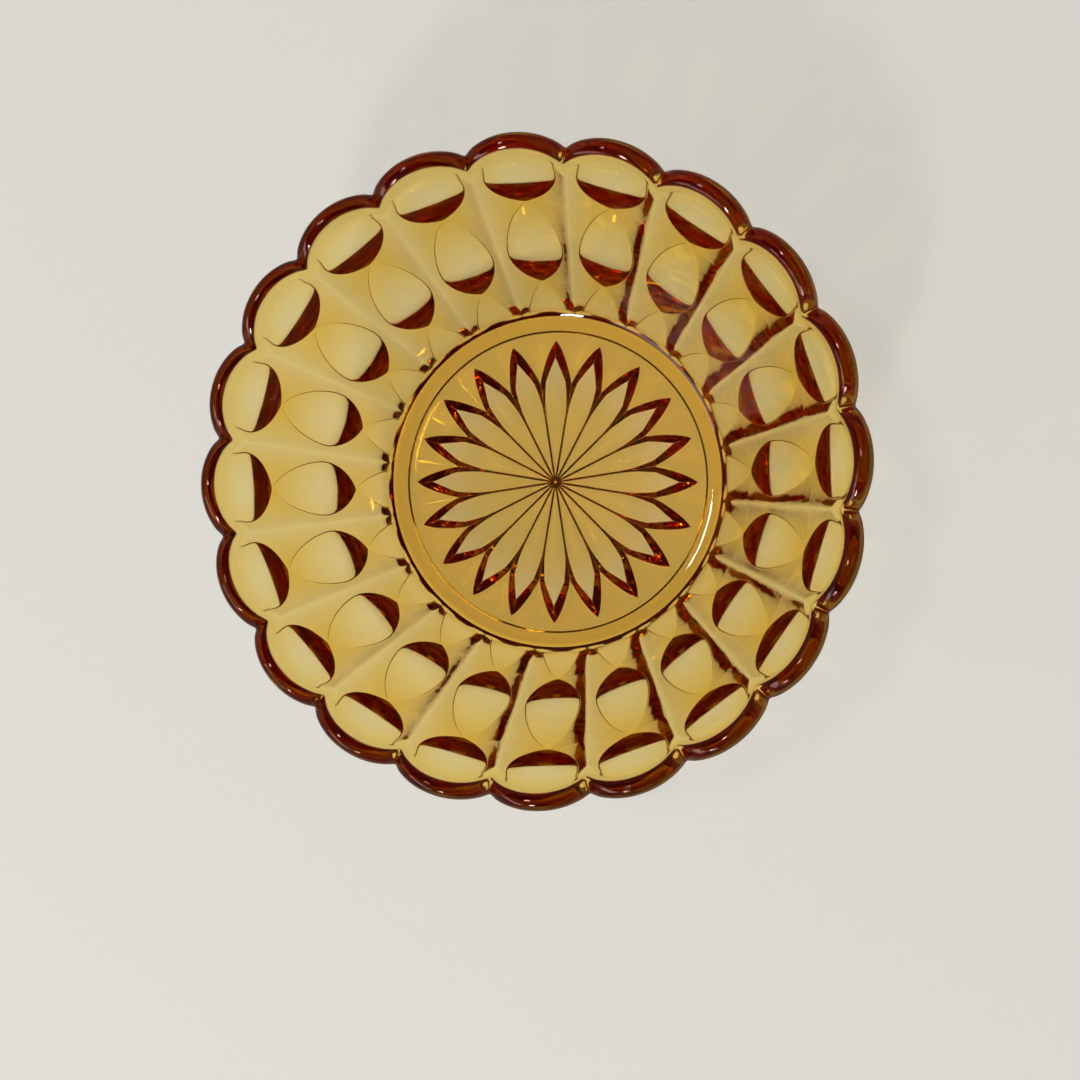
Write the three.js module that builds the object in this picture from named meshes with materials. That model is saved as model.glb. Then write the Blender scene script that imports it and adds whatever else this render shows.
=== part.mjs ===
import * as THREE from "three";

// ---- repeats ----
const COLUMNS = 20; // rim scallops, wall columns and star rays all repeat this many times
const STAR_TWIST_DEG = -2.6; // star rays sit slightly off the column centre lines

// ---- outer wall, followed along a valley from foot to rim (mm, degrees) ----
const FOOT_RADIUS = 38;
const FOOT_HEIGHT = 1.8;
const SLOPE_AT_FOOT_DEG = 64.3;
const SLOPE_AT_RIM_DEG = 65.9;
const WALL_RUN = 53;
const VALLEY_THICKNESS = 3.1;

// ---- cut pattern ----
const LOBE_RISE = 0.058; // column crown above its valleys, per mm of radius
const LOBE_ROUND = 0.35; // 0 gives a roof with flat sides, 1 a rounded lobe
const LEAF_EDGE = 0.79; // widest leaf outline as a share of the half column
const LEAF_LENGTH = 24.4;
const UPPER_LENGTH = 18.5; // the top row is cut off by the rim
const LEAF_DEEPEST = 0.44; // share of the leaf from its foot-ward tip to its deepest point
const BLUNT_BELOW = 1.75; // how abruptly a leaf falls away from its foot-ward tip
const BLUNT_ABOVE = 1.6; // and from its upper tip
const SINK_AT_FOOT = 0.1; // leaf bottoms lie this far inside the valley line
const SINK_RISE = 0.008; // and this much further per mm up the wall
const LOWER_TIP = 11.1; // where the lower and middle leaves touch, measured up the wall
const FOOT_LEDGE = 1; // run over which the pattern dies into the foot

// ---- scalloped rim band ----
const BEAD_RADIUS = 1.88; // half round along the top edge
const BAND_DEPTH = 3.4; // outer band below the centre of the half round
const BAND_LEAN = 0.06; // thickening per mm down the band
const UNDERCUT = 1.4; // run over which the band steps back to the pattern
const CREST_RUN = 52.3; // centre of the half round, measured up the wall
const NOTCH_RUN = 48.7;
const SCALLOP_POWER = 2.2;
const PINCH = 0.3; // share of the half round lost in the crease between two scallops
const PINCH_WIDTH = 0.1; // reach of the crease as a share of the half column

// ---- inside floor ----
const FLOOR_HEIGHT = 6.6;
const FLOOR_FILLET = 6;
const RUN_TOLERANCE = 0.0005;

// ---- foot and underside ----
const FOOT_SIDE = [[37.5, 0.8], [37, 0]];
const RECESS_LIP = [[33.6, 0], [33, 0.25]];
const RECESS_RADIUS = 32.6;
const RECESS_HEIGHT = 0.9;
const STAR_TIP = 31;
const STAR_SHOULDER = 22; // inside this radius neighbouring rays share a ridge
const FLANK_FULL = 28; // outside this radius the steep flanks have their full width
const FLANK_END = 15; // inside this radius only the thin sides of the ridges are steep
const STAR_OUTLINE_POWER = 0.82;
const FLANK_WIDTH = 2.2; // steep flank along each side of a ray
const RIDGE_FLANK = 0.22; // steep side of the ridge between two rays near the centre
const FLANK_SLOPE = 1.2;
const BED_SLOPE = 0.36;
const THIN = 0.02; // smallest share of an outline kept between mesh lines

// ---- mesh stations ----
const LOWER_STATIONS = [0, 0.09, 0.3, 0.55, 0.78, 0.93];
const LEAF_STATIONS = [0, 0.04, 0.11, 0.21, 0.36, 0.58, 0.78, 0.92];
const UPPER_STATIONS = [0, 0.04, 0.11, 0.21];
const UNDERCUT_STATIONS = [1, 0.5, 0];
const BAND_STATIONS = [0.5];
const ROUND_STEPS = 4;
const INNER_WALL_STEPS = 4;
const FILLET_STEPS = 4;
const SMOOTH_LINES = 60;
const STAR_STATIONS = [STAR_TIP, 30.2, 28.8, 27, 25, STAR_SHOULDER, 18, 12, 4];
const RECESS_LINES = 60;

const DEG = Math.PI / 180;
const TURN = 2 * Math.PI;
const UPPER_TIP = LOWER_TIP + LEAF_LENGTH;

const clamp = (v) => Math.min(1, Math.max(0, v));
const smooth = (v) => clamp(v) ** 2 * (3 - 2 * clamp(v));
const halfColumn = (radius) => (Math.PI * radius) / COLUMNS;

// The valley line is an arc: its slope grows evenly from foot to rim.
const BEND = ((SLOPE_AT_RIM_DEG - SLOPE_AT_FOOT_DEG) * DEG) / WALL_RUN;

function slopeAt(run) {
  return SLOPE_AT_FOOT_DEG * DEG + BEND * run;
}

// Radius and height of a point lifted off the valley line by `lift`, outwards positive.
function wallPoint(run, lift) {
  const start = SLOPE_AT_FOOT_DEG * DEG;
  const slope = slopeAt(run);
  const radius = FOOT_RADIUS + (Math.sin(slope) - Math.sin(start)) / BEND;
  const height = FOOT_HEIGHT + (Math.cos(start) - Math.cos(slope)) / BEND;
  return [radius + lift * Math.sin(slope), height - lift * Math.cos(slope)];
}

// `u` is -1 and +1 in the valleys either side of a column and 0 on its centre line.
function lobeLift(u, crown) {
  return crown * (1 - Math.abs(u)) * (1 + LOBE_ROUND * Math.abs(u));
}

function crownAt(run) {
  return LOBE_RISE * wallPoint(run, 0)[0];
}

function sinkAt(run) {
  return SINK_AT_FOOT + SINK_RISE * run;
}

// Share of the way along the leaf that covers this run, from its foot-ward tip.
function leafPhase(run) {
  if (run > UPPER_TIP) {
    return (run - UPPER_TIP) / UPPER_LENGTH;
  }
  return (((run - LOWER_TIP) / LEAF_LENGTH) % 1 + 1) % 1;
}

// Depth of the leaf's centre line below the column crown.
function leafDepth(run) {
  const phase = leafPhase(run);
  const footward = phase < LEAF_DEEPEST;
  const reach = footward ? LEAF_DEEPEST : 1 - LEAF_DEEPEST;
  const blunt = footward ? BLUNT_BELOW : BLUNT_ABOVE;
  return (crownAt(run) + sinkAt(run)) * (1 - Math.abs((phase - LEAF_DEEPEST) / reach) ** blunt);
}

// Crosswise rise of the hollow, set so the widest outline lands on LEAF_EDGE.
function leafSag(run) {
  return (sinkAt(run) + lobeLift(LEAF_EDGE, crownAt(run))) / LEAF_EDGE ** 2;
}

// The outline is where the hollow meets the lobe: a quadratic in u.
function leafOutline(run) {
  const crown = crownAt(run);
  const square = LOBE_ROUND * crown + leafSag(run);
  const linear = (1 - LOBE_ROUND) * crown;
  return (Math.sqrt(linear ** 2 + 4 * square * leafDepth(run)) - linear) / (2 * square);
}

function patternLift(u, run) {
  const crown = crownAt(run);
  const hollow = crown - leafDepth(run) + leafSag(run) * u * u;
  return Math.min(lobeLift(u, crown), hollow);
}

function rimRun(u) {
  return NOTCH_RUN + (CREST_RUN - NOTCH_RUN) * (1 - Math.abs(u) ** SCALLOP_POWER);
}

// Height of the half round, pinched where two scallops meet.
function edgeHeight(u) {
  return BEAD_RADIUS * (1 - PINCH * Math.exp(-(((1 - Math.abs(u)) / PINCH_WIDTH) ** 2)));
}

function outerLift(u, run) {
  const pattern = smooth(run / FOOT_LEDGE) * patternLift(u, run);
  const below = rimRun(u) - run;
  const band = 2 * BEAD_RADIUS - VALLEY_THICKNESS + BAND_LEAN * below;
  const share = smooth((BAND_DEPTH + UNDERCUT - below) / UNDERCUT);
  return pattern * (1 - share) + band * share;
}

// ---- rings of points, each sorted by its share of a turn ----
const rings = [];

function addRing(points) {
  rings.push(points);
}

function placed(radius, height, turnShare) {
  const angle = turnShare * TURN;
  return { at: turnShare, xyz: [radius * Math.cos(angle), radius * Math.sin(angle), height] };
}

// One ring with the same `us` in every column; profile(u) gives [radius, height].
function addColumnRing(us, profile) {
  const points = [];
  for (let column = 0; column < COLUMNS; column++) {
    for (const u of us) {
      const [radius, height] = profile(u);
      points.push(placed(radius, height, (column + u / 2) / COLUMNS));
    }
  }
  addRing(points);
}

function addPlainRing(radius, height, lines) {
  const points = [];
  for (let line = 0; line < lines; line++) {
    points.push(placed(radius, height, line / lines));
  }
  addRing(points);
}

// Lines hug the leaf outline, so its crease is an edge of the mesh.
function columnLines(edge) {
  const e = Math.max(edge, THIN);
  const side = (1 + e) / 2;
  return [-1, -side, -e, -e / 2, 0, e / 2, e, side];
}

function addWallRing(run) {
  const lines = columnLines(leafOutline(run));
  addColumnRing(lines, (u) => wallPoint(run, outerLift(u, run)));
}

// Rings near the rim keep a constant distance below the scalloped edge.
function addBandRing(below) {
  addColumnRing(columnLines(LEAF_EDGE), (u) => {
    const run = rimRun(u) - below;
    return wallPoint(run, outerLift(u, run));
  });
}

// The edge is a half round from the bead's outer face to the inner wall.
function addRoundRing(angle) {
  addColumnRing(columnLines(LEAF_EDGE), (u) => {
    const lift = BEAD_RADIUS * (1 + Math.cos(angle)) - VALLEY_THICKNESS;
    return wallPoint(rimRun(u) + edgeHeight(u) * Math.sin(angle), lift);
  });
}

// Half width of a ray as a share of half a pitch: pointed at the tip, full from the shoulder in.
function rayOutline(radius) {
  const along = clamp((STAR_TIP - radius) / (STAR_TIP - STAR_SHOULDER));
  return Math.max(along ** STAR_OUTLINE_POWER, THIN);
}

function flankWidth(radius) {
  const full = smooth((radius - FLANK_END) / (FLANK_FULL - FLANK_END));
  return RIDGE_FLANK + (FLANK_WIDTH - RIDGE_FLANK) * full;
}

// `inset` is the distance in from the ray's outline.
function rayDepth(radius, inset) {
  const flank = Math.min(inset, flankWidth(radius));
  return FLANK_SLOPE * flank + BED_SLOPE * (inset - flank);
}

// `v` is 0 on a ray's centre crease and -1, +1 on the ridges beside it.
function addStarRing(radius) {
  const half = halfColumn(radius);
  const edge = rayOutline(radius);
  const outline = edge * (1 - THIN);
  const knee = Math.min(Math.max(edge - flankWidth(radius) / half, edge * THIN), outline * (1 - THIN));
  const points = [];
  for (let ray = 0; ray < COLUMNS; ray++) {
    for (const v of [-1, -outline, -knee, 0, knee, outline]) {
      const inset = Math.max(edge - Math.abs(v), 0) * half;
      const at = (ray + v / 2) / COLUMNS + STAR_TWIST_DEG / 360;
      points.push(placed(radius, RECESS_HEIGHT + rayDepth(radius, inset), at));
    }
  }
  addRing(points);
}

// ---- underside, from the star's centre out to the foot ----
for (const radius of [...STAR_STATIONS].reverse()) {
  addStarRing(radius);
}
addPlainRing(RECESS_RADIUS, RECESS_HEIGHT, RECESS_LINES);
for (const [radius, height] of [...RECESS_LIP].reverse()) {
  addPlainRing(radius, height, SMOOTH_LINES);
}
for (const [radius, height] of [...FOOT_SIDE].reverse()) {
  addPlainRing(radius, height, SMOOTH_LINES);
}

// ---- outer wall ----
for (const station of LOWER_STATIONS) {
  addWallRing(station * LOWER_TIP);
}
for (const station of LEAF_STATIONS) {
  addWallRing(LOWER_TIP + station * LEAF_LENGTH);
}
for (const station of UPPER_STATIONS) {
  addWallRing(UPPER_TIP + station * UPPER_LENGTH);
}
for (const station of UNDERCUT_STATIONS) {
  addBandRing(BAND_DEPTH + station * UNDERCUT);
}
for (const station of BAND_STATIONS) {
  addBandRing(station * BAND_DEPTH);
}

// ---- rounded edge ----
for (let step = 0; step <= ROUND_STEPS; step++) {
  addRoundRing((Math.PI * step) / ROUND_STEPS);
}

// ---- inner wall, fillet and floor ----
function filletRun() {
  let low = 0;
  let high = WALL_RUN / 2;
  while (high - low > RUN_TOLERANCE) {
    const middle = (low + high) / 2;
    const centre = wallPoint(middle, -VALLEY_THICKNESS - FLOOR_FILLET)[1];
    if (centre > FLOOR_HEIGHT + FLOOR_FILLET) {
      high = middle;
    } else {
      low = middle;
    }
  }
  return high;
}

const FILLET_RUN = filletRun();
for (let step = 1; step < INNER_WALL_STEPS; step++) {
  const run = NOTCH_RUN + (FILLET_RUN - NOTCH_RUN) * (step / INNER_WALL_STEPS);
  const [radius, height] = wallPoint(run, -VALLEY_THICKNESS);
  addPlainRing(radius, height, SMOOTH_LINES);
}
const [filletRadius, filletHeight] = wallPoint(FILLET_RUN, -VALLEY_THICKNESS - FLOOR_FILLET);
for (let step = 0; step <= FILLET_STEPS; step++) {
  const slope = slopeAt(FILLET_RUN) * (1 - step / FILLET_STEPS);
  const radius = filletRadius + FLOOR_FILLET * Math.sin(slope);
  const height = filletHeight - FLOOR_FILLET * Math.cos(slope);
  addPlainRing(radius, height, SMOOTH_LINES);
}

// ---- skin the rings into one closed surface ----
const positions = [];
const indices = [];

function pushPoint(xyz) {
  positions.push(...xyz);
  return positions.length / 3 - 1;
}

// Walks round two neighbouring rings together, always stepping the one that lags behind.
function skin(lower, upper) {
  let i = 0;
  let j = 0;
  const share = (ring, k) => ring.at[k % ring.at.length] + Math.floor(k / ring.at.length);
  const point = (ring, k) => ring.first + (k % ring.at.length);
  while (i < lower.at.length || j < upper.at.length) {
    const stepLower = j >= upper.at.length
      || (i < lower.at.length && share(lower, i + 1) + share(lower, i) <= share(upper, j + 1) + share(upper, j));
    if (stepLower) {
      indices.push(point(lower, i), point(lower, i + 1), point(upper, j));
      i++;
    } else {
      indices.push(point(lower, i), point(upper, j + 1), point(upper, j));
      j++;
    }
  }
}

const placedRings = rings.map((points) => {
  const sorted = [...points].sort((a, b) => a.at - b.at);
  const first = positions.length / 3;
  sorted.forEach((p) => pushPoint(p.xyz));
  return { first, at: sorted.map((p) => p.at) };
});
for (let k = 0; k + 1 < placedRings.length; k++) {
  skin(placedRings[k], placedRings[k + 1]);
}

function capRing(ring, height, flip) {
  const centre = pushPoint([0, 0, height]);
  for (let k = 0; k < ring.at.length; k++) {
    const a = ring.first + k;
    const b = ring.first + ((k + 1) % ring.at.length);
    indices.push(centre, flip ? b : a, flip ? a : b);
  }
}

capRing(placedRings[0], RECESS_HEIGHT, true);
capRing(placedRings[placedRings.length - 1], FLOOR_HEIGHT, false);

const geometry = new THREE.BufferGeometry();
geometry.setAttribute("position", new THREE.Float32BufferAttribute(positions, 3));
geometry.setIndex(indices);
geometry.computeVertexNormals();

const amberGlass = new THREE.MeshStandardMaterial({ color: 0xd9a441, roughness: 0.08, metalness: 0 });
amberGlass.name = "amber_glass";

const dish = new THREE.Mesh(geometry, amberGlass);
dish.name = "glass_dish";

const part = new THREE.Group();
part.name = "candy_dish";
part.add(dish);

export default part;
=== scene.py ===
import math
import bpy
import numpy as np
from mathutils import Matrix, Vector


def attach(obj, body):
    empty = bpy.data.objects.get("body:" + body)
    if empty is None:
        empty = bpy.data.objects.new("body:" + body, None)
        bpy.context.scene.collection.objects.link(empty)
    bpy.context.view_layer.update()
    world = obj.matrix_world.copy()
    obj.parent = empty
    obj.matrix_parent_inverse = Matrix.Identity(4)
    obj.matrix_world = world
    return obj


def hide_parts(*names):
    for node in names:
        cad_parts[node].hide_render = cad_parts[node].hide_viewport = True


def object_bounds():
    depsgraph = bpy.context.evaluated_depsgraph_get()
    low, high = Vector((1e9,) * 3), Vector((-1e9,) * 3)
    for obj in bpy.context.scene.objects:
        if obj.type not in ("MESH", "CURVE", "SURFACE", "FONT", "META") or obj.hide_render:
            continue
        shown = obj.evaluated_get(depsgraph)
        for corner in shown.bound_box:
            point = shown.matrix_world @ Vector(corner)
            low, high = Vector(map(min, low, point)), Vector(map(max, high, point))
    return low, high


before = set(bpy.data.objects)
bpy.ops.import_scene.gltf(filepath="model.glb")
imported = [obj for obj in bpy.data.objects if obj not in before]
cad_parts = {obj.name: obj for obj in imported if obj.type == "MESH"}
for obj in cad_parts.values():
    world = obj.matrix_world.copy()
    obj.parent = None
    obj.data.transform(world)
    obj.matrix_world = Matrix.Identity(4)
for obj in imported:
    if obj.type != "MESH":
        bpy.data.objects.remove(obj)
CAD_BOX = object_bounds()

# The dish is drawn in millimetres and made into a mesh in metres, with the CAD part's driving dimensions.
MM = 0.001

# ---- repeats ----
COLUMNS = 20  # rim scallops, wall columns and star rays all repeat this many times
STAR_TWIST_DEG = -2.6

# ---- outer wall, followed along a valley from foot to rim ----
FOOT_RADIUS = 38.0
FOOT_HEIGHT = 1.8
SLOPE_AT_FOOT = math.radians(64.3)
SLOPE_AT_RIM = math.radians(65.9)
WALL_RUN = 53.0
BEND = (SLOPE_AT_RIM - SLOPE_AT_FOOT) / WALL_RUN
VALLEY_THICKNESS = 3.1

# ---- cut pattern ----
LOBE_RISE = 0.058  # column crown above its valleys, per mm of radius
LOBE_ROUND = 0.35  # 0 gives a roof with flat sides, 1 a rounded lobe
LEAF_EDGE = 0.79  # widest leaf outline as a share of the half column
LEAF_LENGTH = 24.4
UPPER_LENGTH = 18.5  # the top row is cut off by the rim
LEAF_DEEPEST = 0.44
BLUNT_BELOW = 1.75
BLUNT_ABOVE = 1.6
SINK_AT_FOOT = 0.1  # leaf bottoms lie this far inside the valley line
SINK_RISE = 0.008  # and this much further per mm up the wall
LOWER_TIP = 11.1
UPPER_TIP = LOWER_TIP + LEAF_LENGTH
FOOT_LEDGE = 1.0

# ---- pressed edges, finer than the CAD part shows ----
EDGE_STEP = 0.24  # step down just inside each leaf outline
EDGE_WIDTH = 0.30
VALLEY_SOFT = 0.35  # rounding of the valleys on the wall, in mm
RIM_SOFT = 0.12  # and of the same valleys near the rim
VALLEY_BACK = 0.6  # share of that rounding taken back out, which keeps the valley near its sharp depth
NOTCH_SOFT = 0.02  # rounding of the notch between two scallops, in half columns
NOTCH_BACK = 0.7
CREASE_SOFT = 0.04  # width of the blend along each leaf outline

# ---- scalloped rim band ----
BEAD_RADIUS = 1.88
BAND_DEPTH = 3.4
BAND_LEAN = 0.06
UNDERCUT = 1.4
CREST_RUN = 52.3
NOTCH_RUN = 48.7
SCALLOP_POWER = 2.2
PINCH = 0.3  # share of the rolled edge lost in the crease between two scallops
PINCH_WIDTH = 0.1

# ---- inside floor ----
FLOOR_HEIGHT = 6.6
FLOOR_FILLET = 6.0

# ---- foot and underside ----
RECESS_HEIGHT = 0.9
RECESS_RADIUS = 32.6
STAR_TIP = 31.0
STAR_SHOULDER = 22.0
STAR_OUTLINE_POWER = 0.82
FLANK_FULL = 28.0  # outside this radius the steep flanks have their full width
FLANK_END = 15.0  # inside this radius only the thin sides of the ridges are steep
FLANK_WIDTH = 2.2
RIDGE_FLANK = 0.22
FLANK_SLOPE = 1.2
BED_SLOPE = 0.36

# ---- lines across a column ----
SMOOTH_LINES = 160  # round a whole ring that has no pattern
FLOOR_LINES = 80
EDGE_LINES = np.array([0.34, 0.27, 0.21, 0.15, 0.10, 0.05, 0])  # mm inside the leaf outline
EDGE_ROOM = 0.9  # mm; a leaf with less half width than this has its edge lines squeezed
FIELD_LINES = np.array([0, 0.22, 0.44, 0.66, 0.86])  # shares of the way out to the edge lines
OUTSIDE_LINES = np.array([0.012, 0.06, 0.20, 0.42, 0.66, 0.86, 0.95])  # and from the outline to the valley
LEAST_EDGE = 0.004  # narrowest leaf outline that lines are drawn round, as a share of the half column
RIM_EDGE = 0.75  # where the outline's lines start out in rings that follow the rim
RIM_HALF = 9.0  # mm, half a column's width at the rim
OUTLINE_PASSES = 4
ROLL_LINES = 13  # across half a column of the rolled edge, crowded towards the notch
SAME_LINES = 0.02  # equal rings whose lines lie this close, in turns, are joined line to line

# ---- rings up the wall, over the rim and down the inside ----
LEDGE_RINGS = 6
LOWER_RINGS = 17
LEAF_RINGS = 37
UPPER_RINGS = 12
LEVEL_RINGS_END = 4.6  # mm above UPPER_TIP that the rings stay level
TURNING_RINGS = 9
UNDERCUT_RINGS = 11
BAND_STATIONS = (0.8, 0.55, 0.3, 0.12, 0)  # shares of the band's depth
ROLL_RINGS = 21
INNER_WALL_RINGS = 24
FILLET_RINGS = 14
FLOOR_RADII = (26, 18, 9)
HALVINGS = 40

# ---- rings across the underside ----
STAR_LEAST = 0.01  # narrowest ray outline, at the tips
KNEE_LEAST = 0.02  # the knee between bed and flank stays between these shares of the outline
KNEE_MOST = 0.96
BED_LINES = np.array([0.35, 0.7, 0.92])
FLANK_LINES = np.array([0.0, 0.08, 0.3, 0.6, 0.9, 0.98])
STAR_RADII = [
    0.3, 1.2, 3, 6, 9, 12, 14.5, 17, 18.5, 20, 21, 22, 22.8, 23.6, 24.5, 25.4,
    26.2, 27, 27.8, 28.6, 29.3, 29.9, 30.4, 30.8, STAR_TIP,
]
RECESS_PROFILE = [
    (31.6, RECESS_HEIGHT), (RECESS_RADIUS, RECESS_HEIGHT), (32.85, 0.84), (33.0, 0.7),
    (33.1, 0.4), (33.25, 0.15), (33.5, 0.03), (33.8, 0),
]
FOOT_PROFILE = [(36.6, 0), (36.95, 0.04), (37.25, 0.18), (37.5, 0.42), (37.65, 0.75), (37.78, 1.2)]


# ---------------------------------------------------------------- shape
# `run` is the distance up the wall along a valley. `u` is 0 on a column's centre line and -1 or +1 in the
# valleys beside it.
def smooth(value):
    """Smooth step from 0 to 1."""
    value = np.clip(value, 0.0, 1.0)
    return value * value * (3 - 2 * value)


def soft_min(a, b, width):
    """The smaller of two lifts, blended where they differ by less than `width`."""
    overlap = np.maximum(width - np.abs(a - b), 0) / width
    return np.minimum(a, b) - overlap * overlap * width / 4


def wall_point(run, lift):
    """Radius and height of a point lifted off the valley line, outwards positive."""
    slope = SLOPE_AT_FOOT + BEND * run
    radius = FOOT_RADIUS + (np.sin(slope) - math.sin(SLOPE_AT_FOOT)) / BEND
    height = FOOT_HEIGHT + (math.cos(SLOPE_AT_FOOT) - np.cos(slope)) / BEND
    return radius + lift * np.sin(slope), height - lift * np.cos(slope)


def crown_at(run):
    return LOBE_RISE * wall_point(run, 0.0)[0]


def half_column(run):
    return wall_point(run, 0.0)[0] * math.pi / COLUMNS


def sink_at(run):
    return SINK_AT_FOOT + SINK_RISE * run


def leaf_depth(run):
    """Depth of a leaf's centre line below the column crown."""
    upper_phase = (run - UPPER_TIP) / UPPER_LENGTH
    lower_phase = ((run - LOWER_TIP) / LEAF_LENGTH) % 1.0
    phase = np.where(run > UPPER_TIP, upper_phase, lower_phase)
    reach = np.where(phase < LEAF_DEEPEST, LEAF_DEEPEST, 1 - LEAF_DEEPEST)
    blunt = np.where(phase < LEAF_DEEPEST, BLUNT_BELOW, BLUNT_ABOVE)
    return (crown_at(run) + sink_at(run)) * (1 - np.abs((phase - LEAF_DEEPEST) / reach) ** blunt)


def lobe_lift(u, crown):
    return crown * (1 - np.abs(u)) * (1 + LOBE_ROUND * np.abs(u))


def leaf_sag(run):
    """Crosswise rise of the hollow, set so the widest outline lands on LEAF_EDGE."""
    return (sink_at(run) + lobe_lift(LEAF_EDGE, crown_at(run))) / LEAF_EDGE ** 2


def leaf_outline(run):
    """The outline is where the hollow meets the lobe: a quadratic in u."""
    crown = crown_at(run)
    square = LOBE_ROUND * crown + leaf_sag(run)
    linear = (1 - LOBE_ROUND) * crown
    return (np.sqrt(linear * linear + 4 * square * leaf_depth(run)) - linear) / (2 * square)


def pattern_lift(u, run):
    """Lift of the cut pattern above the valley line, with rounded creases and a step inside each leaf."""
    crown = crown_at(run)
    half = half_column(run)
    soft = VALLEY_SOFT + (RIM_SOFT - VALLEY_SOFT) * smooth((run - UPPER_TIP) / (NOTCH_RUN - UPPER_TIP))
    from_valley = (1 - np.abs(u)) * half
    from_valley = np.sqrt(from_valley * from_valley + soft * soft) - soft * VALLEY_BACK
    lobe = lobe_lift(1 - from_valley / half, crown)
    inset = (leaf_outline(run) - np.abs(u)) * half
    hollow = crown - leaf_depth(run) + leaf_sag(run) * u * u - EDGE_STEP * smooth(inset / EDGE_WIDTH)
    return soft_min(lobe, hollow, CREASE_SOFT)


def rim_run(u):
    from_notch = 1 - np.abs(u)
    from_notch = np.sqrt(from_notch * from_notch + NOTCH_SOFT ** 2) - NOTCH_SOFT * NOTCH_BACK
    return NOTCH_RUN + (CREST_RUN - NOTCH_RUN) * (1 - np.abs(1 - from_notch) ** SCALLOP_POWER)


def edge_height(u):
    """Height of the rolled edge, pinched where two scallops meet."""
    return BEAD_RADIUS * (1 - PINCH * np.exp(-((1 - np.abs(u)) / PINCH_WIDTH) ** 2))


def outer_lift(u, run):
    pattern = smooth(run / FOOT_LEDGE) * pattern_lift(u, run)
    below = rim_run(u) - run
    band = 2 * BEAD_RADIUS - VALLEY_THICKNESS + BAND_LEAN * below
    share = smooth((BAND_DEPTH + UNDERCUT - below) / UNDERCUT)
    return pattern * (1 - share) + band * share


# ---------------------------------------------------------------- rings
rings = []  # (points, share of a turn of each point), from the star's centre round to the inside floor


def add_ring(radius, height, at):
    order = np.argsort(at, kind="stable")
    angle = at * 2 * np.pi
    points = np.stack([radius * np.cos(angle), radius * np.sin(angle), height + 0 * angle], -1)
    rings.append((points[order], at[order]))


def add_plain_ring(radius, height, lines=SMOOTH_LINES):
    add_ring(radius, height, np.arange(lines) / lines)


def add_column_ring(us, profile):
    """The same lines in every column; profile(us) gives their radii and heights."""
    radius, height = profile(us)
    at = ((np.arange(COLUMNS)[:, None] + us / 2) / COLUMNS).ravel()
    add_ring(np.tile(radius, COLUMNS), np.tile(height, COLUMNS), at)


def mirrored(right):
    """Lines of the right half, from 0 out, with their mirror images and the valley line on the left."""
    return np.concatenate([[-1.0], -right[1:][::-1], right])


def column_lines(edge, half):
    """Line positions across a column: close together beside the leaf outline and the valley."""
    edge = max(float(edge), LEAST_EDGE)
    beside = edge - EDGE_LINES * min(1.0, edge * half / EDGE_ROOM) / half
    return mirrored(np.concatenate([FIELD_LINES * beside[0], beside, edge + OUTSIDE_LINES * (1 - edge)]))


def add_wall_ring(run):
    lines = column_lines(leaf_outline(run), half_column(run))
    add_column_ring(lines, lambda u: wall_point(run, outer_lift(u, run)))


def add_rim_ring(run_at):
    """A ring whose run varies with u; its lines are slid onto the leaf outline by repeated correction."""
    even = column_lines(RIM_EDGE, RIM_HALF)
    us = even
    for _ in range(OUTLINE_PASSES):
        edge = leaf_outline(run_at(us))
        outside = np.sign(even) * (edge + (np.abs(even) - RIM_EDGE) / (1 - RIM_EDGE) * (1 - edge))
        us = np.where(np.abs(even) <= RIM_EDGE, even / RIM_EDGE * edge, outside)
    run = run_at(us)
    add_column_ring(us, lambda u: wall_point(run, outer_lift(u, run)))


def add_star_ring(radius):
    """One ring across the rays: a shallow bed between two steep flanks, pointed at the tip."""
    half = radius * math.pi / COLUMNS
    along = float(np.clip((STAR_TIP - radius) / (STAR_TIP - STAR_SHOULDER), 0.0, 1.0))
    edge = max(along ** STAR_OUTLINE_POWER, STAR_LEAST)
    full = float(smooth((radius - FLANK_END) / (FLANK_FULL - FLANK_END)))
    flank = RIDGE_FLANK + (FLANK_WIDTH - RIDGE_FLANK) * full
    knee = min(max(edge - flank / half, KNEE_LEAST * edge), KNEE_MOST * edge)
    v = mirrored(np.concatenate([[0], knee * BED_LINES, knee + (edge - knee) * FLANK_LINES]))
    inset = np.maximum(edge - np.abs(v), 0) * half
    depth = FLANK_SLOPE * np.minimum(inset, flank) + BED_SLOPE * np.maximum(inset - flank, 0)
    at = ((np.arange(COLUMNS)[:, None] + v / 2) / COLUMNS + STAR_TWIST_DEG / 360).ravel()
    add_ring(radius, np.tile(RECESS_HEIGHT + depth, COLUMNS), at)


def eased(count):
    """Shares from just above 0 up to 1, closer together at both ends."""
    return (0.5 - 0.5 * np.cos(np.pi * np.linspace(0, 1, count)))[1:]


def add_underside():
    for radius in STAR_RADII:
        add_star_ring(radius)
    for radius, height in RECESS_PROFILE + FOOT_PROFILE:
        add_plain_ring(radius, height)


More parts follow.
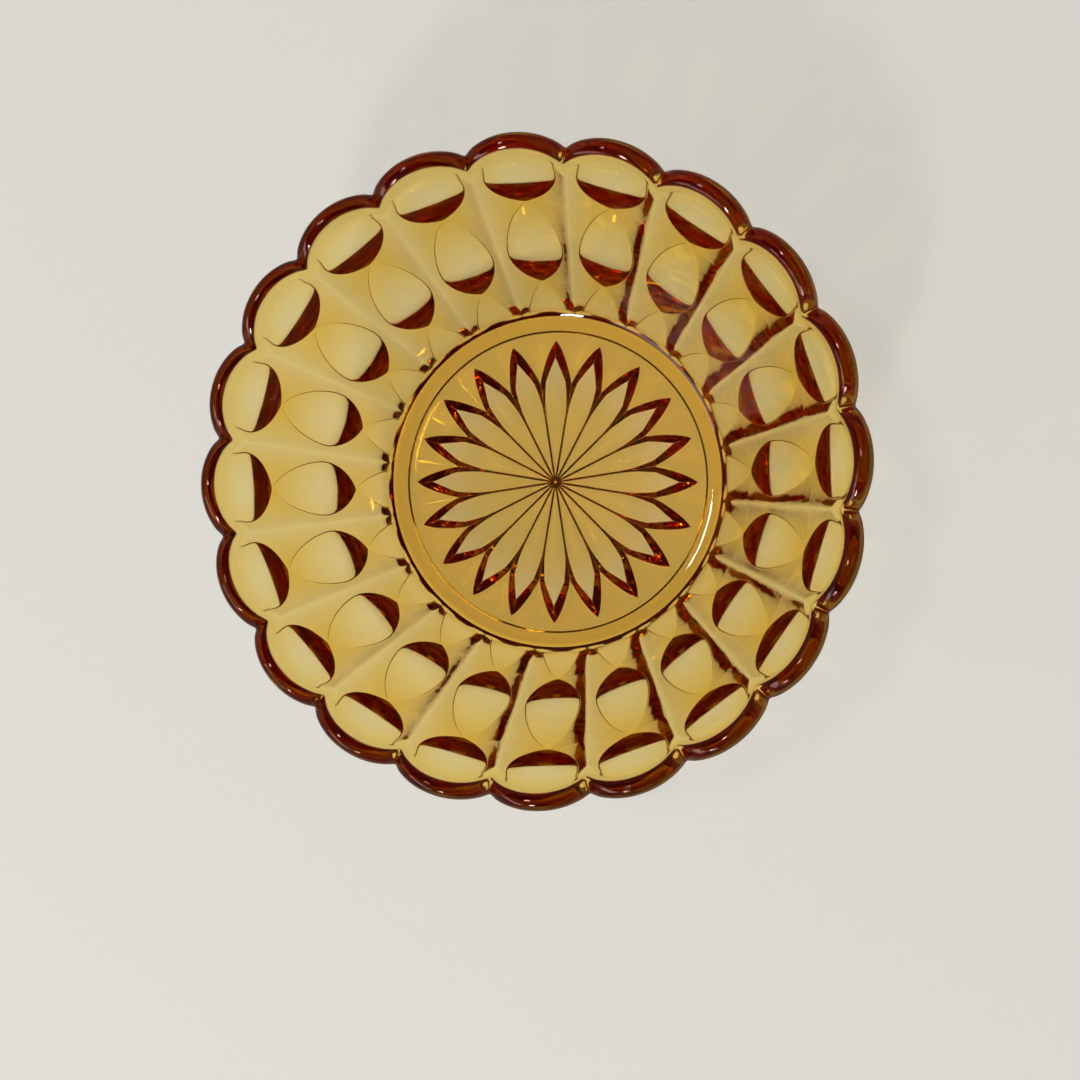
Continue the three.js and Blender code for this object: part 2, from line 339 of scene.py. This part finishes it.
def add_outer_wall():
    for share in np.linspace(0, 1, LEDGE_RINGS):
        add_wall_ring(share * FOOT_LEDGE)
    for share in eased(LOWER_RINGS):
        add_wall_ring(FOOT_LEDGE + share * (LOWER_TIP - FOOT_LEDGE))
    for share in eased(LEAF_RINGS):
        add_wall_ring(LOWER_TIP + share * LEAF_LENGTH)
    level_end = UPPER_TIP + LEVEL_RINGS_END
    for share in 1 - np.cos(np.pi / 2 * np.linspace(0, 1, UPPER_RINGS)[1:]):
        add_wall_ring(UPPER_TIP + share * (level_end - UPPER_TIP))
    # From here the rings turn from level ones into ones that follow the scalloped rim.
    for share in np.linspace(0, 1, TURNING_RINGS)[1:]:
        add_rim_ring(lambda u: level_end + share * (rim_run(u) - BAND_DEPTH - UNDERCUT - level_end))
    for share in np.linspace(1, 0, UNDERCUT_RINGS)[1:]:
        add_rim_ring(lambda u: rim_run(u) - BAND_DEPTH - UNDERCUT * share)
    for share in BAND_STATIONS:
        add_rim_ring(lambda u: rim_run(u) - BAND_DEPTH * share)


def rolled_edge(angle):
    """Profile of the rim's half round at one angle from its outer face."""
    lift = BEAD_RADIUS * (1 + math.cos(angle)) - VALLEY_THICKNESS
    return lambda u: wall_point(rim_run(u) + edge_height(u) * math.sin(angle), lift)


def fillet_run():
    """Where the inner fillet's centre stands one fillet radius above the inside floor."""
    low = 0.0
    high = WALL_RUN / 2
    for _ in range(HALVINGS):
        middle = (low + high) / 2
        if wall_point(middle, -VALLEY_THICKNESS - FLOOR_FILLET)[1] > FLOOR_HEIGHT + FLOOR_FILLET:
            high = middle
        else:
            low = middle
    return high


def add_rim_and_inside():
    lines = mirrored(1 - (1 - np.arange(ROLL_LINES) / ROLL_LINES) ** 2)
    for angle in np.linspace(0, np.pi, ROLL_RINGS)[1:]:
        add_column_ring(lines, rolled_edge(angle))
    end = fillet_run()
    for share in np.linspace(0, 1, INNER_WALL_RINGS)[1:-1]:
        radius, height = wall_point(NOTCH_RUN + (end - NOTCH_RUN) * share, -VALLEY_THICKNESS)
        add_plain_ring(float(radius), float(height))
    centre_radius, centre_height = wall_point(end, -VALLEY_THICKNESS - FLOOR_FILLET)
    for share in np.linspace(0, 1, FILLET_RINGS):
        slope = (SLOPE_AT_FOOT + BEND * end) * (1 - share)
        radius = centre_radius + FLOOR_FILLET * math.sin(slope)
        add_plain_ring(float(radius), float(centre_height - FLOOR_FILLET * math.cos(slope)))
    for radius in FLOOR_RADII:
        add_plain_ring(radius, FLOOR_HEIGHT, FLOOR_LINES)


# ---------------------------------------------------------------- skin
def strip(first_a, at_a, first_b, at_b):
    """Faces between two neighbouring rings. Where their lines differ, the ring that lags steps on."""
    count_a = len(at_a)
    count_b = len(at_b)
    if count_a == count_b and np.abs(at_a - at_b).max() < SAME_LINES:
        k = np.arange(count_a)
        after = (k + 1) % count_a
        return np.stack([first_a + k, first_a + after, first_b + after, first_b + k], 1).tolist()
    share_a = np.append(at_a, at_a[0] + 1)
    share_b = np.append(at_b, at_b[0] + 1)
    faces = []
    i = 0
    j = 0
    while i < count_a or j < count_b:
        a_lags = i < count_a and (
            j >= count_b or share_a[i + 1] + share_a[i] <= share_b[j + 1] + share_b[j]
        )
        if a_lags:
            faces.append([first_a + i, first_a + (i + 1) % count_a, first_b + j % count_b])
            i += 1
        else:
            faces.append([first_a + i % count_a, first_b + (j + 1) % count_b, first_b + j])
            j += 1
    return faces


def cap(centre, first, count, facing_up):
    """A fan that closes a ring onto its centre point."""
    faces = []
    for k in range(count):
        here = first + k
        after = first + (k + 1) % count
        faces.append([centre, here, after] if facing_up else [centre, after, here])
    return faces


def mesh_object(name, vertices, faces):
    mesh = bpy.data.meshes.new(name)
    mesh.from_pydata(vertices, [], faces)
    mesh.validate()
    mesh.update()
    mesh.polygons.foreach_set("use_smooth", [True] * len(mesh.polygons))
    made = bpy.data.objects.new(name, mesh)
    bpy.context.scene.collection.objects.link(made)
    return made


def build_dish():
    add_underside()
    add_outer_wall()
    add_rim_and_inside()
    firsts = np.cumsum([0] + [len(at) for _, at in rings]).tolist()
    faces = []
    for k in range(len(rings) - 1):
        faces += strip(firsts[k], rings[k][1], firsts[k + 1], rings[k + 1][1])
    centre = firsts[-1]
    faces += cap(centre, firsts[0], len(rings[0][1]), False)
    faces += cap(centre + 1, firsts[-2], len(rings[-1][1]), True)
    centres = [[0, 0, RECESS_HEIGHT], [0, 0, FLOOR_HEIGHT]]
    vertices = np.concatenate([points for points, _ in rings] + [centres]) * MM
    return mesh_object("pressed_glass", vertices.tolist(), faces)


# ---------------------------------------------------------------- materials
GLASS_IOR = 1.52
GLASS_TINT = (0.967, 0.79, 0.06, 1)
GLASS_DENSITY = 360.0  # per metre
WAVE_SCALE = 140.0  # faint unevenness of the pressed surface
WAVE_STRENGTH = 0.035

FLOOR_COLOUR = (0.60, 0.59, 0.56, 1)
GLOW_COLOUR = (1.0, 0.985, 0.93, 1)
GLOW_NEAR = 0.43  # strength of the floor's own light round the dish
GLOW_FAR = 0.26
FALL_FROM = 0.18  # metres from the dish's axis where that light starts to fall away
FALL_TO = 0.75
REFLECTED_SHARE = 0.08  # how much of it is left for rays reflected in or on the glass


def new_material(name):
    material = bpy.data.materials.new(name)
    material.use_nodes = True
    return material


def add_node(tree, kind, **inputs):
    """A node with its named inputs set; an underscore stands for a space in an input's name."""
    made = tree.nodes.new(kind)
    for name, value in inputs.items():
        made.inputs[name.replace("_", " ")].default_value = value
    return made


def glass_material():
    """Clear glass with a faint waviness; all its colour comes from the depth of glass looked through."""
    material = new_material("amber_glass")
    tree = material.node_tree
    tree.nodes.clear()
    output = add_node(tree, "ShaderNodeOutputMaterial")
    surface = add_node(tree, "ShaderNodeBsdfPrincipled", Base_Color=(1, 1, 1, 1), Roughness=0.0)
    surface.inputs["Transmission Weight"].default_value = 1.0
    surface.inputs["IOR"].default_value = GLASS_IOR
    place = add_node(tree, "ShaderNodeTexCoord")
    wave = add_node(tree, "ShaderNodeTexNoise", Scale=WAVE_SCALE, Detail=2.0)
    bump = add_node(tree, "ShaderNodeBump", Strength=WAVE_STRENGTH, Distance=MM)
    depth = add_node(tree, "ShaderNodeVolumeAbsorption", Color=GLASS_TINT, Density=GLASS_DENSITY)
    tree.links.new(place.outputs["Object"], wave.inputs["Vector"])
    tree.links.new(wave.outputs["Fac"], bump.inputs["Height"])
    tree.links.new(bump.outputs["Normal"], surface.inputs["Normal"])
    tree.links.new(surface.outputs["BSDF"], output.inputs["Surface"])
    tree.links.new(depth.outputs["Volume"], output.inputs["Volume"])
    return material


def math_node(tree, operation, *values):
    made = tree.nodes.new("ShaderNodeMath")
    made.operation = operation
    for socket, value in zip(made.inputs, values):
        if isinstance(value, (int, float)):
            socket.default_value = value
        else:
            tree.links.new(value, socket)
    return made.outputs[0]


def distance_from_axis(tree):
    place = add_node(tree, "ShaderNodeNewGeometry")
    flat = tree.nodes.new("ShaderNodeVectorMath")
    flat.operation = "MULTIPLY"
    flat.inputs[1].default_value = (1, 1, 0)
    length = tree.nodes.new("ShaderNodeVectorMath")
    length.operation = "LENGTH"
    tree.links.new(place.outputs["Position"], flat.inputs[0])
    tree.links.new(flat.outputs[0], length.inputs[0])
    return length.outputs["Value"]


def floor_material():
    """Pale matt sheet that gives off its own light, evenly round the dish and less further out.

    That light is cut for rays the glass has reflected. It keeps the crescents and the rim roll dark, as
    they would be in a room darker than this floor. It is a rendering device and not how glass behaves.
    """
    material = new_material("pale_floor")
    tree = material.node_tree
    surface = tree.nodes["Principled BSDF"]
    surface.inputs["Base Color"].default_value = FLOOR_COLOUR
    surface.inputs["Roughness"].default_value = 0.95
    surface.inputs["Specular IOR Level"].default_value = 0.0
    surface.inputs["Emission Color"].default_value = GLOW_COLOUR
    fall = add_node(tree, "ShaderNodeMapRange", From_Min=FALL_FROM, From_Max=FALL_TO)
    fall.interpolation_type = "SMOOTHSTEP"
    fall.inputs["To Min"].default_value = GLOW_NEAR
    fall.inputs["To Max"].default_value = GLOW_FAR
    tree.links.new(distance_from_axis(tree), fall.inputs["Value"])
    path = add_node(tree, "ShaderNodeLightPath")
    reflected = math_node(tree, "GREATER_THAN", path.outputs["Glossy Depth"], 0.5)
    lost = math_node(tree, "MULTIPLY", reflected, 1.0 - REFLECTED_SHARE)
    glow = math_node(tree, "MULTIPLY", fall.outputs["Result"], math_node(tree, "SUBTRACT", 1.0, lost))
    tree.links.new(glow, surface.inputs["Emission Strength"])
    return material


# ---------------------------------------------------------------- stage
STAGE_LINES = 96
STAGE_FLAT = 0.9  # metres of flat floor round the dish
STAGE_FLAT_RINGS = (0.25, 0.5, STAGE_FLAT)
STAGE_CURVE = 0.5  # radius of the curve up into the backdrop
STAGE_CURVE_RINGS = 14
STAGE_HEIGHT = 1.1
STAGE_GAP = 0.0002  # keeps the floor clear of the foot


def stage_profile():
    profile = [(radius, 0) for radius in STAGE_FLAT_RINGS]
    for angle in np.linspace(0, np.pi / 2, STAGE_CURVE_RINGS)[1:]:
        rise = STAGE_CURVE - STAGE_CURVE * math.cos(angle)
        profile.append((STAGE_FLAT + STAGE_CURVE * math.sin(angle), rise))
    profile.append((STAGE_FLAT + STAGE_CURVE, STAGE_HEIGHT))
    return profile


def build_stage():
    """A round floor that curves up into a wall on every side."""
    profile = stage_profile()
    vertices = [(0, 0, 0)]
    for radius, height in profile:
        for line in range(STAGE_LINES):
            angle = 2 * math.pi * line / STAGE_LINES
            vertices.append((radius * math.cos(angle), radius * math.sin(angle), height))
    faces = [(0, 1 + k, 1 + (k + 1) % STAGE_LINES) for k in range(STAGE_LINES)]
    for ring in range(len(profile) - 1):
        inner = 1 + ring * STAGE_LINES
        outer = inner + STAGE_LINES
        for k in range(STAGE_LINES):
            after = (k + 1) % STAGE_LINES
            faces.append((inner + k, outer + k, outer + after, inner + after))
    floor = mesh_object("floor", vertices, faces)
    floor.data.materials.append(floor_material())
    floor.location.z = CAD_BOX[0][2] - STAGE_GAP
    return floor


# ---------------------------------------------------------------- light and camera
LIGHT_AIM = (0, 0, 0.02)
ROOM_COLOUR = (0.18, 0.175, 0.17, 1)
ROOM_STRENGTH = 0.12
CAMERA_AT = Vector((0.0291, -0.0103, 0.2524))
CAMERA_AIM = Vector((-0.0043, -0.0126, 0.0))
CAMERA_UP = Vector((0.039, 0.999, 0))
CAMERA_LENS = 38.07
CAMERA_SENSOR = 36.0
CAMERA_CLIP = 0.01


def add_area_light(name, place, size, power, colour):
    data = bpy.data.lights.new(name, "AREA")
    data.shape = "RECTANGLE"
    data.size, data.size_y = size
    data.energy = power
    data.color = colour
    lamp = bpy.data.objects.new(name, data)
    lamp.location = place
    lamp.rotation_euler = (Vector(LIGHT_AIM) - Vector(place)).to_track_quat("-Z", "Y").to_euler()
    bpy.context.scene.collection.objects.link(lamp)


def add_room():
    world = bpy.data.worlds.new("room")
    world.use_nodes = True
    background = world.node_tree.nodes["Background"]
    background.inputs["Color"].default_value = ROOM_COLOUR
    background.inputs["Strength"].default_value = ROOM_STRENGTH
    bpy.context.scene.world = world


def add_camera():
    """The photograph's viewing angle: almost straight down into the dish."""
    data = bpy.data.cameras.new("camera")
    data.sensor_width = CAMERA_SENSOR
    data.lens = CAMERA_LENS
    data.clip_start = CAMERA_CLIP
    camera = bpy.data.objects.new("camera", data)
    back = (CAMERA_AT - CAMERA_AIM).normalized()
    right = CAMERA_UP.cross(back).normalized()
    turn = Matrix((right, back.cross(right), back)).transposed().to_4x4()
    camera.matrix_world = Matrix.Translation(CAMERA_AT) @ turn
    bpy.context.scene.collection.objects.link(camera)
    bpy.context.scene.camera = camera


def set_light_paths():
    """Light bounces many times inside the wall before it leaves."""
    scene = bpy.context.scene
    scene.cycles.max_bounces = 24
    scene.cycles.glossy_bounces = 16
    scene.cycles.transmission_bounces = 24
    scene.cycles.diffuse_bounces = 4
    scene.cycles.transparent_max_bounces = 8
    scene.cycles.caustics_reflective = True
    scene.cycles.caustics_refractive = True
    scene.cycles.blur_glossy = 0.0
    scene.view_settings.view_transform = "Standard"
    scene.view_settings.look = "None"


# ---------------------------------------------------------------- scene
dish = build_dish()
dish.data.materials.append(glass_material())
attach(dish, "root")
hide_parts("glass_dish")
build_stage()
add_area_light("window", (-0.25, -0.75, 0.75), (0.10, 0.15), 2.4, (1, 0.98, 0.95))
add_area_light("side", (-0.75, -0.50, 0.62), (0.8, 0.22), 1.4, (1, 0.99, 0.98))
add_area_light("ceiling", (-0.31, 0.12, 0.90), (0.10, 0.10), 0.7, (1, 1, 1))
add_room()
add_camera()
set_light_paths()
